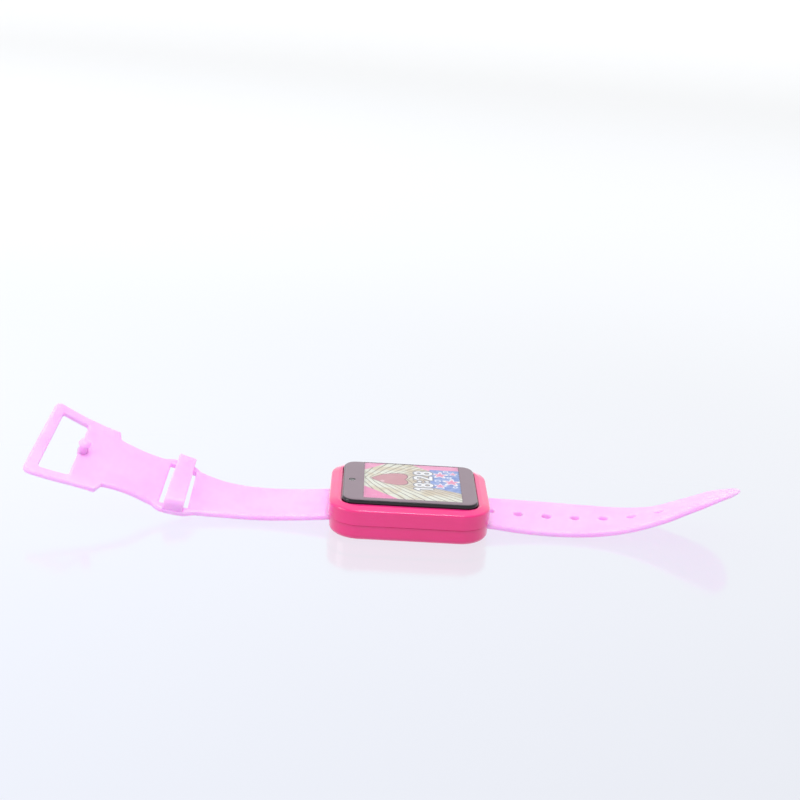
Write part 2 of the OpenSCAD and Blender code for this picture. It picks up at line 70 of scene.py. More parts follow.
def place_camera():
    back = Vector(
        (
            math.sin(CAMERA_YAW) * math.cos(CAMERA_PITCH),
            -math.cos(CAMERA_YAW) * math.cos(CAMERA_PITCH),
            math.sin(CAMERA_PITCH),
        )
    )
    level = Vector((math.cos(CAMERA_YAW), math.sin(CAMERA_YAW), 0))
    rise = back.cross(level)
    right = math.cos(CAMERA_ROLL) * level + math.sin(CAMERA_ROLL) * rise
    up = -math.sin(CAMERA_ROLL) * level + math.cos(CAMERA_ROLL) * rise
    shift_x, shift_y = ((a - 400) / FOCAL_PIXELS * CAMERA_DISTANCE for a in AIM)
    where = back * CAMERA_DISTANCE - right * shift_x + up * shift_y
    data = bpy.data.cameras.new("camera")
    data.sensor_width = 36
    data.lens = FOCAL_PIXELS / 800 * 36
    data.clip_start = 0.01
    data.clip_end = 50
    camera = bpy.data.objects.new("camera", data)
    scene.collection.objects.link(camera)
    turn = Matrix((right, up, back)).transposed()
    camera.matrix_world = Matrix.Translation(where * MM) @ turn.to_4x4()
    scene.camera = camera


# ---------- fields: numbers that vary over a surface ----------


class Field:
    """A node socket that holds a number. Arithmetic on it adds Math nodes."""

    def __init__(self, socket):
        self.socket = socket
        self.tree = socket.id_data

    def math(self, operation, *others):
        node = self.tree.nodes.new("ShaderNodeMath")
        node.operation = operation
        for entry, value in zip(node.inputs, (self,) + others):
            if isinstance(value, Field):
                self.tree.links.new(value.socket, entry)
            else:
                entry.default_value = value
        return Field(node.outputs[0])

    def __add__(self, other):
        return self.math("ADD", other)

    def __radd__(self, other):
        return self.math("ADD", other)

    def __sub__(self, other):
        return self.math("SUBTRACT", other)

    def __rsub__(self, other):
        return (self * -1.0) + other

    def __mul__(self, other):
        return self.math("MULTIPLY", other)

    def __truediv__(self, other):
        return self.math("DIVIDE", other)

    def __abs__(self):
        return self.math("ABSOLUTE")

    def below(self, limit, blur=0.0):
        """1 where this is under the limit, 0 where it is over, over a blur on each side."""
        if not blur:
            return self.math("LESS_THAN", limit)
        return 1.0 - self.ramp(limit - blur, limit + blur)

    def ramp(self, low, high):
        node = self.tree.nodes.new("ShaderNodeMapRange")
        node.interpolation_type = "SMOOTHSTEP"
        self.tree.links.new(self.socket, node.inputs["Value"])
        node.inputs["From Min"].default_value = low
        node.inputs["From Max"].default_value = high
        return Field(node.outputs["Result"])

    def low(self, other):
        return self.math("MINIMUM", other)

    def high(self, other):
        return self.math("MAXIMUM", other)

    def sine(self):
        return self.math("SINE")

    def from_stripe(self, pitch=1.0):
        """Distance from the middle of evenly spaced stripes, 0 to 0.5 of their pitch."""
        return abs((self / pitch).math("FRACT") - 0.5)


def length(a, b):
    return (a * a + b * b).math("SQRT")


class Paint:
    """The node tree of one material, with its main shader."""

    def __init__(self, name):
        self.material = bpy.data.materials.new(name)
        self.material.use_nodes = True
        self.tree = self.material.node_tree
        self.shader = self.tree.nodes["Principled BSDF"]
        self.output = self.tree.nodes["Material Output"]
        self.place = self.tree.nodes.new("ShaderNodeTexCoord").outputs["Object"]

    def link(self, source, entry):
        """Feeds an input from a socket or a field, or sets it to a plain value."""
        if isinstance(source, Field):
            source = source.socket
        if isinstance(source, bpy.types.NodeSocket):
            self.tree.links.new(source, entry)
        else:
            entry.default_value = source

    def set(self, **values):
        for name, value in values.items():
            title = name.replace("_", " ").title().replace("Ior", "IOR")
            self.link(value, self.shader.inputs[title])

    def node(self, kind, links=(), **settings):
        node = self.tree.nodes.new(kind)
        for name, value in settings.items():
            if name in node.bl_rna.properties:
                setattr(node, name, value)
            else:
                node.inputs[name.replace("_", " ")].default_value = value
        for entry, source in links:
            self.link(source, node.inputs[entry])
        return node

    def axes(self, middle=(0, 0, 0)):
        """Place on the object along X, Y and Z, in mm."""
        split = self.node("ShaderNodeSeparateXYZ", [("Vector", self.place)])
        return [Field(o) / MM - m for o, m in zip(split.outputs, middle)]

    def noise(self, size, detail=2.0, stretch=(1, 1, 1), seed=0.0):
        """Soft noise from 0 to 1, with blots of about that size in mm."""
        where = self.node(
            "ShaderNodeMapping",
            [("Vector", self.place)],
            Scale=tuple(1 / (size * MM * s) for s in stretch),
            Location=(seed, seed * 1.7, seed * 0.6),
        )
        node = self.node(
            "ShaderNodeTexNoise", [("Vector", where.outputs[0])], Scale=1.0, Detail=detail
        )
        return Field(node.outputs[0])

    def mix(self, share, first, second):
        """Colour between two, each a colour or a socket."""
        node = self.tree.nodes.new("ShaderNodeMix")
        node.data_type = "RGBA"
        self.link(share, node.inputs["Factor"])
        for entry, value in ((node.inputs[6], first), (node.inputs[7], second)):
            self.link((*value, 1) if isinstance(value, tuple) else value, entry)
        return node.outputs[2]

    def bump(self, height, depth, normal=None):
        """Relief of that many mm from a height of 0 to 1."""
        links = [("Height", height)]
        if normal is not None:
            links.append(("Normal", normal))
        node = self.node("ShaderNodeBump", links, Strength=1.0, Distance=depth * MM)
        return node.outputs[0]

    def soft_edges(self, radius):
        """A normal that rounds sharp edges by that many mm."""
        return self.node("ShaderNodeBevel", samples=6, Radius=radius * MM).outputs[0]


# ---------- materials ----------


def moulded_plastic(name, light, dark, rough=0.3):
    """Glossy injection-moulded plastic: faint flow marks, a fine satin grain and soft edges."""
    p = Paint(name)
    flow = p.noise(14, 3, (1, 0.6, 0.6))
    speck = p.noise(0.5, 2, seed=3.0).ramp(0.72, 0.8)
    tint = p.mix(flow.ramp(0.3, 0.7), light, dark)
    grain = p.noise(0.12, 3)
    waves = p.noise(5, 1, seed=5.0)
    p.set(
        base_color=p.mix(speck * 0.05, tint, (1, 0.8, 0.9)),
        roughness=p.noise(5, 4, seed=2.0) * 0.08 + (rough - 0.04),
        subsurface_weight=0.12,
        subsurface_radius=(1.0, 0.25, 0.45),
        subsurface_scale=0.0012,
        normal=p.bump(grain, 0.002, p.bump(waves, 0.006, p.soft_edges(0.07))),
        coat_weight=1.0,
        coat_roughness=0.05,
        coat_normal=p.soft_edges(0.13),
        sheen_weight=0.08,
        sheen_roughness=0.3,
    )
    return p.material


def strap_rubber(name):
    """Soft, slightly see-through PVC under a satin skin, with painted shade that makes it pinker in
    its folds and corners.
    """
    p = Paint(name)
    cloud = p.noise(9, 3, (1.6, 1, 1))
    fine = p.noise(0.22, 3)
    skin = p.noise(2.2, 2, seed=4.0)
    # Painted shade: ambient occlusion tints folds, corners, holes and spots near other surfaces a
    # deeper pink.
    close = p.node("ShaderNodeAmbientOcclusion", samples=8, Distance=0.0032)
    painted_crease_shade = 1.0 - Field(close.outputs["AO"]).ramp(0.15, 0.85)
    tint = p.mix(cloud.ramp(0.35, 0.65), (0.985, 0.462, 0.86), (0.975, 0.50, 0.90))
    p.set(
        base_color=p.mix(painted_crease_shade * 0.4, tint, (0.97, 0.30, 0.66)),
        roughness=skin * 0.16 + 0.34,
        subsurface_weight=0.9,
        subsurface_radius=(1.0, 0.45, 0.8),
        subsurface_scale=0.005,
        normal=p.bump(fine, 0.004, p.bump(skin, 0.012, p.soft_edges(0.3))),
        sheen_weight=0.15,
        sheen_roughness=0.4,
    )
    return p.material


# Places in mm: the lit picture's middle and half its side, the selfie camera, the height above
# which the glass over the picture is clear, and the heights where its black side turns into the
# mauve of its face, a painted reflection of the bright room.
PICTURE_MIDDLE = (0.8, 0.6, 0.0)
PICTURE_HALF = 13.85
SELFIE_X = -16.5
CLEAR_ABOVE_Z = 8.6
FACE_EDGE_Z = (10.75, 10.95)


def screen_glass(name):
    """Glass whose rim is printed black, its face a painted mauve reflection. The window over the
    picture is clear.
    """
    p = Paint(name)
    x, y, z = p.axes(PICTURE_MIDDLE)
    edge = abs(x).high(abs(y))
    window = edge.below(PICTURE_HALF + 0.02, 0.03) * z.math("GREATER_THAN", CLEAR_ABOVE_Z)
    camera_mark = length(
        x + (PICTURE_MIDDLE[0] - SELFIE_X),
        y + PICTURE_MIDDLE[1],
    ).below(1.0, 0.05)
    clear = window.high(camera_mark)
    smear = p.noise(6, 3, (1, 2.5, 1))
    p.set(
        # Black print below FACE_EDGE_Z; above it the mauve is a painted reflection of the bright
        # room.
        base_color=p.mix(
            z.ramp(*FACE_EDGE_Z),
            (0.012, 0.011, 0.015),
            p.mix(p.noise(8, 2, seed=1.0), (0.20, 0.14, 0.175), (0.24, 0.175, 0.21)),
        ),
        roughness=smear * 0.05 + 0.03,
        ior=1.5,
        specular_ior_level=0.5,
        normal=p.bump(p.noise(7, 1, seed=8.0), 0.006),
    )
    glass = p.node("ShaderNodeBsdfGlass", IOR=1.5, Roughness=0.0)
    through = p.node("ShaderNodeBsdfTransparent")
    path = p.node("ShaderNodeLightPath")
    lamps = Field(path.outputs["Is Shadow Ray"]).high(Field(path.outputs["Is Diffuse Ray"]))
    pane = p.node(
        "ShaderNodeMixShader", [(0, lamps), (1, glass.outputs[0]), (2, through.outputs[0])]
    )
    whole = p.node(
        "ShaderNodeMixShader", [(0, clear), (1, p.shader.outputs[0]), (2, pane.outputs[0])]
    )
    p.tree.links.new(whole.outputs[0], p.output.inputs["Surface"])
    return p.material


def capsule(x, y, ends):
    """Distance to a straight stroke."""
    (ax, ay), (bx, by) = ends
    dx, dy = bx - ax, by - ay
    along = ((x - ax) * dx + (y - ay) * dy) / (dx * dx + dy * dy)
    along = along.high(0.0).low(1.0)
    return length(x - ax - along * dx, y - ay - along * dy)


def ring(x, y, middle, radius):
    """Distance to a circle's line."""
    return abs(length(x - middle[0], y - middle[1]) - radius)


def digit_distance(glyph, x, y):
    """Distance to the strokes of a rounded digit that is 3 wide and 5.2 high about its middle."""
    if glyph == ":":
        return length(x, y - 1.1).low(length(x, y + 1.1)) - 0.12
    if glyph == "1":
        stem = capsule(x, y, ((0.1, -2.3), (0.1, 2.3)))
        return stem.low(capsule(x, y, ((0.1, 2.3), (-0.8, 1.5))))
    if glyph == "8":
        return ring(x, y, (0, 1.2), 1.05).low(ring(x, y, (0, -1.15), 1.2))
    top = ring(x, y, (0, 1.15), 1.15) + (y - 0.5 + x * 0.6).below(0.0) * 9.0
    strokes = capsule(x, y, ((0.85, 0.4), (-1.15, -2.25))).low(
        capsule(x, y, ((-1.15, -2.25), (1.2, -2.25)))
    )
    return top.low(strokes)


def star(x, y, middle, size, turn=0.3):
    """1 inside a soft five-pointed star."""
    dx, dy = x - middle[0], y - middle[1]
    angle = dy.math("ARCTAN2", dx)
    reach = (angle * 5.0 + turn).sine() * (0.28 * size) + 0.72 * size
    return (length(dx, dy) - reach).below(0.0, 0.05)


# The watch face's drawing, in mm from the picture's middle.
BLUE_START_X = 5.2
STARS = (((8.2, 6.6), 2.1), ((11.4, 1.2), 2.3), ((8.0, -2.0), 1.6), ((12.0, 7.9), 1.2))
BUBBLES = (((10.8, 4.9), 0.6), ((7.4, 1.9), 0.75), ((12.3, -2.4), 0.55), ((10.0, 9.6), 0.7))
TIME = (("1", -6.6), ("8", -3.7), (":", -1.0), ("2", 1.8), ("8", 5.6))
TIME_MIDDLE = (3.2, 1.8)
HEART_MIDDLE = (-6.0, 1.8)
STRAND_PITCH = 1.55
DOT_PITCH = 0.23


def draw_ground(p, x, y):
    """Pink, with paler blots."""
    ground = p.mix((y * 0.05 + 0.5).low(1.0), (0.90, 0.26, 0.52), (0.93, 0.36, 0.60))
    blots = p.noise(2.2, 2, seed=12.0).ramp(0.62, 0.7)
    return p.mix(blots * 0.5, ground, (0.95, 0.55, 0.72))


def draw_strands(p, art, x, y, hy, wobble):
    """Cream strands that part at the middle and fan out to both sides."""
    from_left = x + PICTURE_HALF
    side = abs(hy)
    spread = ((side - 3.0) * 0.1).high(0.0)
    fan = (from_left - side * 0.55 + wobble * 0.9) / (1.0 + spread * 0.75)
    line = fan.from_stripe(STRAND_PITCH).ramp(0.36, 0.46)
    patches = p.noise(3.5, 2, seed=2.0).ramp(0.4, 0.62)
    cream = p.mix(patches, (0.82, 0.84, 0.74), (0.72, 0.66, 0.50))
    shade = (x * 0.07 + 0.35).high(0.0).low(1.0) * (1.0 - spread)
    cream = p.mix(shade, cream, (0.55, 0.40, 0.30))
    strands = p.mix(line * 0.8, cream, (0.20, 0.13, 0.13))
    wedge = (side - 6.3 - from_left * 0.92).below(0.0, 0.12)
    corner = (y - 13.2 + (x - 1.0) * 0.9).below(0.0, 0.12)
    return p.mix(wedge * corner, art, strands)


def draw_heart(p, art, hx, hy):
    """A heart whose point is towards 12 o'clock, with an outline and a gleam."""
    heart = length(hx / 1.05 - abs(hy) * 0.62 + 0.9, hy * 1.02)
    rose = p.mix(p.noise(4, 2, seed=6.0), (0.60, 0.25, 0.31), (0.72, 0.38, 0.42))
    art = p.mix(heart.below(4.75, 0.08), art, (0.30, 0.13, 0.17))
    art = p.mix(heart.below(4.45, 0.08), art, rose)
    gleam = length((hx + 2.6) / 0.8, hy + 2.0).below(0.75, 0.1)
    return p.mix(gleam * 0.6, art, (0.95, 0.75, 0.80))


def draw_blue_panel(p, art, x, y):
    """A blue corner with stars and bubbles."""
    panel = x.math("GREATER_THAN", BLUE_START_X) * y.below(10.6, 0.1)
    panel = panel * ((y + 3.4 + (x - BLUE_START_X) * 0.42) * -1.0).below(0.0, 0.1)
    clouds = p.noise(1.6, 2, seed=9.0).ramp(0.3, 0.7)
    art = p.mix(panel, art, p.mix(clouds, (0.16, 0.27, 0.68), (0.33, 0.46, 0.82)))
    for middle, size in STARS:
        art = p.mix(star(x, y, middle, size * 1.25) * panel, art, (0.93, 0.90, 0.95))
        art = p.mix(star(x, y, middle, size * 0.8) * panel, art, (0.90, 0.30, 0.52))
    for middle, size in BUBBLES:
        art = p.mix(ring(x, y, middle, size).below(0.18, 0.05), art, (0.9, 0.92, 1))
    return art


def draw_time(p, art, x, y):
    """The time reads from the near side to the far side, its top towards 12 o'clock."""
    u, v = y - TIME_MIDDLE[1], (x - TIME_MIDDLE[0]) * -1.0
    glyphs = [digit_distance(glyph, u - middle, v) for glyph, middle in TIME]
    strokes = glyphs[0]
    for glyph in glyphs[1:]:
        strokes = strokes.low(glyph)
    art = p.mix(strokes.below(0.78, 0.06), art, (0.20, 0.22, 0.32))
    return p.mix(strokes.below(0.46, 0.05), art, (0.95, 0.95, 0.97))


def lit_picture(name):
    """A watch face: pink ground, fanned strands, a heart, the time, and stars on blue."""
    p = Paint(name)
    x, y, _ = p.axes(PICTURE_MIDDLE)
    wobble = p.noise(5, 2) - 0.5
    hx, hy = x - HEART_MIDDLE[0], y - HEART_MIDDLE[1]
    art = draw_ground(p, x, y)
    art = draw_strands(p, art, x, y, hy, wobble)
    art = draw_heart(p, art, hx, hy)
    art = draw_blue_panel(p, art, x, y)
    art = draw_time(p, art, x, y)
    dots = x.from_stripe(DOT_PITCH).high(y.from_stripe(DOT_PITCH))
    art = p.mix(dots.ramp(0.42, 0.5) * 0.08, art, (0.05, 0.05, 0.08))
    p.set(base_color=art, roughness=p.noise(3, 2, seed=5.0) * 0.1 + 0.35)
    return p.material


def plain(
    name, light, dark, rough, metal=0.0, blot=2.0, grain=0.15, depth=0.004, stretch=(1, 1, 1)
):
    """A material of two close colours with a fine grain, for the pieces inside."""
    p = Paint(name)
    p.set(
        base_color=p.mix(p.noise(blot, 3, stretch).ramp(0.3, 0.7), light, dark),
        roughness=p.noise(blot * 0.6, 3, seed=2.0) * 0.2 + (rough - 0.1),
        metallic=metal,
        normal=p.bump(p.noise(grain, 3, stretch), depth, p.soft_edges(0.08)),
    )
    return p.material


def board_green(name):
    """Solder mask over copper tracks, with tinned pads."""
    p = Paint(name)
    x, y, _ = p.axes()
    bend = (p.noise(4, 0, seed=2.0) - 0.5).ramp(-0.02, 0.02) * 0.5
    track = (x * 0.9 + y * 0.9 * bend).from_stripe().below(0.2, 0.05)
    pads = length(x.from_stripe(1.6), y.from_stripe(1.9)).below(0.13, 0.02)
    some = p.noise(5, 0, seed=7.0).math("GREATER_THAN", 0.52)
    green = p.mix(track * 0.6, (0.012, 0.13, 0.055), (0.03, 0.24, 0.10))
    p.set(
        base_color=p.mix(pads * some, green, (0.72, 0.70, 0.62)),
        metallic=pads * some,
        roughness=p.noise(2, 2) * 0.15 + 0.25,
        normal=p.bump(track, 0.02),
    )
    return p.material


def make_materials():
    pinks = (0.87, 0.008, 0.215), (0.83, 0.005, 0.19)
    made = {
        "hot_pink_plastic": moulded_plastic("hot_pink_plastic", *pinks),
        "strap_rubber": strap_rubber("strap_rubber"),
        "black_glass": screen_glass("black_glass"),
        "lit_picture": lit_picture("lit_picture"),
        "board_green": board_green("board_green"),
    }
    for slot, *how in (
        ("black_print", (0.012, 0.012, 0.014), (0.02, 0.02, 0.022), 0.5),
        ("adhesive", (0.03, 0.03, 0.03), (0.06, 0.06, 0.06), 0.7, 0, 1.5, 0.3, 0.02),
        ("display_glass", (0.02, 0.022, 0.03), (0.035, 0.04, 0.05), 0.2),
        ("flex_film", (0.52, 0.22, 0.04), (0.62, 0.30, 0.06), 0.3, 0, 1.2, 0.5, 0.01, (6, 1, 6)),
        ("camera_black", (0.012, 0.012, 0.014), (0.03, 0.03, 0.034), 0.25),
        ("chip_black", (0.018, 0.018, 0.02), (0.03, 0.03, 0.032), 0.55, 0, 0.8, 0.1, 0.006),
        ("screw_steel", (0.5, 0.5, 0.52), (0.62, 0.62, 0.64), 0.35, 1, 0.7, 0.08, 0.006, (1, 1, 8)),
        ("battery_foil", (0.55, 0.56, 0.58), (0.66, 0.67, 0.69), 0.38, 1, 5, 0.9, 0.03),
        ("foam", (0.04, 0.04, 0.045), (0.09, 0.09, 0.1), 0.85, 0, 0.6, 0.18, 0.05),
        ("lead_insulation", (0.45, 0.012, 0.012), (0.32, 0.008, 0.008), 0.4),
        ("speaker_black", (0.02, 0.02, 0.022), (0.04, 0.04, 0.044), 0.5, 0, 1.5, 0.2, 0.01),
        ("can_metal", (0.58, 0.56, 0.50), (0.68, 0.66, 0.60), 0.35, 1, 1.2, 0.1, 0.006),
    ):
        made[slot] = plain(slot, *how)
    return made


# ---------- moulded straps ----------

# Middle line of each strap at every 10 mm, starting 10 mm inside the case: x, y, z and the tilt
# in degrees that lifts the 3 o'clock edge. It is the CAD's route.
TAIL_ROUTE = (
    (12.7, 0, 3.3, 0), (22.7, 0, 2.8, 0.5), (32.7, 0, 2.2, 3), (42.7, 0, 1.9, 3.5),
    (52.7, 0, 2.0, 1), (62.6, 0, 2.8, -5), (72.4, 0.1, 4.9, -12.5), (81.7, 0.5, 8.5, -16.5),
    (91.2, 0.9, 12, -18), (101.1, 1.1, 13, -17), (111, 1.3, 3, 15),
)  # fmt: skip
BUCKLE_ROUTE = (
    (-12.7, 0, 3.8, 0), (-22.7, 0, 3.0, 0.5), (-32.7, 0.1, 2.2, 1), (-42.7, 0.3, 1.8, 2),
    (-52.6, 0.2, 2.5, 5), (-62.4, -0.4, 4.6, 14.5), (-72, -0.6, 7.3, 19), (-81.1, -1.6, 11.3, 17.5),
    (-90.6, -1.6, 14.4, 23), (-100, -1.9, 17.8, 30.5), (-109.2, -2, 21.8, 39.5),
    (-118.1, -2, 26.4, 47),
)  # fmt: skip
# The CAD's sizes in mm. S is measured along a strap, from the case outwards.
STRAP_HALF, STRAP_T = 10.0, 1.8
ROOT_S = -2.5  # the spring bar's axis
TAIL_L, TIP_ROUND, TIP_T = 74.3, 8.0, 0.8
HOLE_FIRST, HOLE_PITCH, HOLE_N, HOLE_R = 0.9, 8.3, 7, 1.35
FRAME_HALF, FRAME_START, FRAME_END, FRAME_ROUND = 12.8, 64.7, 85.6, 2
WINDOW, WINDOW_HALF, WINDOW_ROUND = (73.9, 82.2), 10.0, 0.8
KEEPER, KEEPER_HALF, KEEPER_ROUND = (39.9, 47.9), 8.65, 0.35
RAIL, RAIL_IN, RAIL_OUT = 1.3, (37.5, 41), (47, 50.5)
BAND_S, BAND_L, BAND_OUT, BAND_TOP, BAND_T = 43.8, 5.5, 11.0, 4.4, 1.6
PEG_R, PEG_HEAD_R, PEG_TOP = 1.25, 1.7, 4.9
PIN_X, PIN_Z, BARREL_R, BORE_R = 20.2, 3.0, 1.65, 0.8
# How much of each moulded edge is rounded, which the CAD leaves sharp.
EDGE_R, HOLE_EDGE_R, WINDOW_EDGE_R, SMALL_EDGE_R, EDGE_STEPS = 0.75, 0.5, 0.55, 0.35, 6


def unit(v):
    return v / np.linalg.norm(v, axis=-1, keepdims=True)


def route_at(route, s):
    """The route's rows at s, on a smooth curve through them (Catmull-Rom)."""
    r = np.asarray(route, float)
    r = np.vstack([2 * r[0] - r[1], r, 2 * r[-1] - r[-2]])
    u = s / 10 + 1
    i = np.clip(np.floor(u).astype(int), 0, len(route) - 2)
    a, b, c, d = (r[i + k] for k in range(4))
    t = (u - i)[:, None]
    return 0.5 * (
        2 * b + (c - a) * t + (2 * a - 5 * b + 4 * c - d) * t**2 + (3 * b - a - 3 * c + d) * t**3
    )


def on_strap(route, s, c, n):
    """Points in mm at s along a strap, c across it and n out of its face."""
    s, c, n = (np.asarray(v, float) for v in np.broadcast_arrays(s, c, n))
    way = 1 if route[-1][0] > 0 else -1
    here = route_at(route, s)
    along = unit(route_at(route, s + 0.2)[:, :3] - route_at(route, s - 0.2)[:, :3])
    level = unit(np.cross(np.array([0.0, 0.0, 1.0]), along)) * way
    out = np.cross(along, level) * way
    tilt = np.radians(here[:, 3:4])
    across = level * np.cos(tilt) + out * np.sin(tilt)
    face = np.cross(along, across) * way
    return here[:, :3] + across * c[:, None] + face * n[:, None]


def round_end(d, r):
    """How far a corner of radius r draws an edge in, at d from the end."""
    d = np.clip(d, 0, r)
    return r - np.sqrt(r * r - (r - d) ** 2)


def ease(a, b, s):
    """A smooth step from 0 at a to 1 at b."""
    t = np.clip((s - a) / (b - a), 0, 1)
    return t * t * (3 - 2 * t)


def tail_half(s):
    return STRAP_HALF - round_end(TAIL_L - s, TIP_ROUND) * (STRAP_HALF - 1) / TIP_ROUND


def tail_thickness(s):
    return STRAP_T - (STRAP_T - TIP_T) * ease(TAIL_L - 14, TAIL_L + 4, s)


def buckle_half(s):
    rails = RAIL * (ease(*RAIL_IN, s) - ease(*RAIL_OUT, s))
    widening = (FRAME_HALF - STRAP_HALF) * ease(FRAME_START - 0.8, FRAME_START + 0.8, s)
    return STRAP_HALF + rails + widening - round_end(FRAME_END - s, FRAME_ROUND)


def outline(stations, half):
    """A strap's edge as a closed loop, with the material on its left."""
    near = [(s, -half(s)) for s in stations]
    far = [(s, half(s)) for s in reversed(stations)]
    return np.array(near + far, float)


def split_sides(loop, step):
    """Splits the long sides of a loop into pieces of about that length."""
    out = []
    for a, b in zip(loop, np.roll(loop, -1, axis=0)):
        n = max(1, int(np.linalg.norm(b - a) / step + 0.5))
        out += [a + (b - a) * k / n for k in range(n)]
    return np.array(out)


def circle(middle, r, n=36):
    """A round hole's edge, with the material on its left."""
    a = -np.arange(n) * 2 * np.pi / n
    return np.stack([middle[0] + r * np.cos(a), middle[1] + r * np.sin(a)], 1)


def round_box(u0, u1, v0, v1, r, steps=5):
    """A rectangular hole's edge with round corners, with the material on its left."""
    out = []
    corners = (u1 - r, v1 - r), (u1 - r, v0 + r), (u0 + r, v0 + r), (u0 + r, v1 - r)
    for (cu, cv), start in zip(corners, (90, 0, -90, 180)):
        for k in range(steps + 1):
            a = math.radians(start - 90 * k / steps)
            out.append((cu + r * math.cos(a), cv + r * math.sin(a)))
    return np.array(out)


def inset(loop, d):
    """The loop moved by d into the material on its left."""
    before = unit(loop - np.roll(loop, 1, axis=0))
    after = unit(np.roll(loop, -1, axis=0) - loop)
    both = before + after
    left = unit(np.stack([-both[:, 1], both[:, 0]], 1))
    lean = np.clip((left * np.stack([-after[:, 1], after[:, 0]], 1)).sum(1), 0.5, 1)
    return loop + left * (d / lean)[:, None]


def inside(points, loops):
    """Which points lie in the material between the loops."""
    count = np.zeros(len(points), int)
    for loop in loops:
        for (ax, ay), (bx, by) in zip(loop, np.roll(loop, -1, axis=0)):
            spans = (ay > points[:, 1]) != (by > points[:, 1])
            if ay != by:
                at = (bx - ax) * (points[:, 1] - ay) / (by - ay) + ax
                count += spans & (points[:, 0] < at)
    return count % 2 == 1


def flat_face(loops, step):
    """Points and triangles that fill the region between loops."""
    ring_points = np.vstack(loops)
    low, high = ring_points.min(0), ring_points.max(0)
    rows = (np.arange(a + step / 2, b, step) for a, b in zip(low, high))
    grid = np.stack(np.meshgrid(*rows), -1).reshape(-1, 2)
    grid = grid[inside(grid, loops)]
    gap = np.array([np.sqrt(((ring_points - g) ** 2).sum(1).min()) for g in grid])
    grid = grid[gap > step * 0.55] if len(grid) else grid
    edges, start = [], 0
    for loop in loops:
        n = len(loop)
        edges += [(start + k, start + (k + 1) % n) for k in range(n)]
        start += n
    points = [Vector(q) for q in np.vstack([ring_points, grid])]
    verts, _, faces, *_ = geometry.delaunay_2d_cdt(points, edges, [], 1, 1e-5)
    verts = np.array([tuple(v) for v in verts])
    faces = np.array([tuple(f) for f in faces])
    return verts, faces[inside(verts[faces].mean(1), loops)]


def moulding(name, loops, edge_radii, place, top, bottom, step=1.2):
    """A closed solid over a flat region, mapped by place(u, v, w), with rounded edges.

    top and bottom give w over the region. Each loop has its own edge radius."""
    radii = []
    for loop, r in zip(loops, edge_radii):
        thick = top(loop[:, 0]) - bottom(loop[:, 0])
        radii.append(np.minimum(r, thick * 0.45))
    flat_loops = [inset(loop, r) for loop, r in zip(loops, radii)]
    uv, faces = flat_face(flat_loops, step)
    points, polygons = [], []

    def add(u, v, w):
        points.append(place(u, v, w))
        return sum(len(q) for q in points[:-1])

    for level in (top, bottom):
        base = add(uv[:, 0], uv[:, 1], level(uv[:, 0]))
        polygons += [tuple(base + k for k in f) for f in faces]
    for loop, r in zip(loops, radii):
        n = len(loop)
        rings = []
        turns = np.linspace(0, np.pi / 2, EDGE_STEPS + 1)
        for level, side in ((top, 1), (bottom, -1)):
            for a in turns if side > 0 else turns[::-1]:
                here = inset(loop, r * (1 - math.sin(a)))
                w = level(loop[:, 0]) - side * r * (1 - math.cos(a))
                flat = a == 0
                rings.append(add(here[:, 0], here[:, 1], level(here[:, 0]) if flat else w))
        for lower, upper in zip(rings, rings[1:]):
            for k in range(n):
                j = (k + 1) % n
                polygons.append((lower + k, lower + j, upper + j, upper + k))
    return solid(name, np.vstack(points), polygons)


def solid(name, points, polygons):
    """A closed mesh object from points in mm."""
    bm = bmesh.new()
    verts = [bm.verts.new(Vector(q) * MM) for q in points]
    for f in polygons:
        try:
            bm.faces.new([verts[k] for k in f])
        except ValueError:
            pass
    bmesh.ops.remove_doubles(bm, verts=bm.verts, dist=2e-6)
    bmesh.ops.dissolve_degenerate(bm, edges=bm.edges, dist=1e-6)
    bmesh.ops.recalc_face_normals(bm, faces=bm.faces)
    if bm.calc_volume(signed=True) < 0:
        bmesh.ops.reverse_faces(bm, faces=bm.faces)
    open_edges = sum(not e.is_manifold for e in bm.edges)
    if open_edges:
        print(f"{name}: {open_edges} edges are open")
    mesh = bpy.data.meshes.new(name)
    bm.to_mesh(mesh)
    bm.free()
    piece = bpy.data.objects.new(name, mesh)
    scene.collection.objects.link(piece)
    return piece


def lathe(name, profile, place, steps=48):
    """A solid turned about its axis. Its profile of (radius, height) starts and ends there."""
    inner = [q for q in profile if q[0] > 0]
    points = [place(np.array([0.0]), np.array([0.0]), np.array([profile[0][1]]))]
    a = np.arange(steps) * 2 * np.pi / steps
    for r, h in inner:
        points.append(place(r * np.cos(a), r * np.sin(a), np.full(steps, h)))
    points.append(place(np.array([0.0]), np.array([0.0]), np.array([profile[-1][1]])))
    last = 1 + len(inner) * steps
    polygons = []
    for k in range(steps):
        j = (k + 1) % steps
        polygons.append((0, 1 + k, 1 + j))
        polygons.append((last, last - steps + k, last - steps + j))
        for i in range(len(inner) - 1):
            b = 1 + i * steps
            polygons.append((b + k, b + j, b + steps + j, b + steps + k))
    return solid(name, np.vstack(points), polygons)


def arc(middle, r, start, end, steps=6):
    turns = [math.radians(start + (end - start) * k / steps) for k in range(steps + 1)]
    return [(middle[0] + r * math.cos(a), middle[1] + r * math.sin(a)) for a in turns]


def join(piece, tool, operation="UNION"):
    """Adds tool to piece, or cuts it away, and removes tool."""
    change = piece.modifiers.new("join", "BOOLEAN")
    change.operation = operation
    change.solver = "MANIFOLD"
    change.object = tool
    bpy.context.view_layer.update()
    seen = piece.evaluated_get(bpy.context.evaluated_depsgraph_get())
    mesh = bpy.data.meshes.new_from_object(seen)
    piece.modifiers.clear()
    piece.data = mesh
    bpy.data.objects.remove(tool)


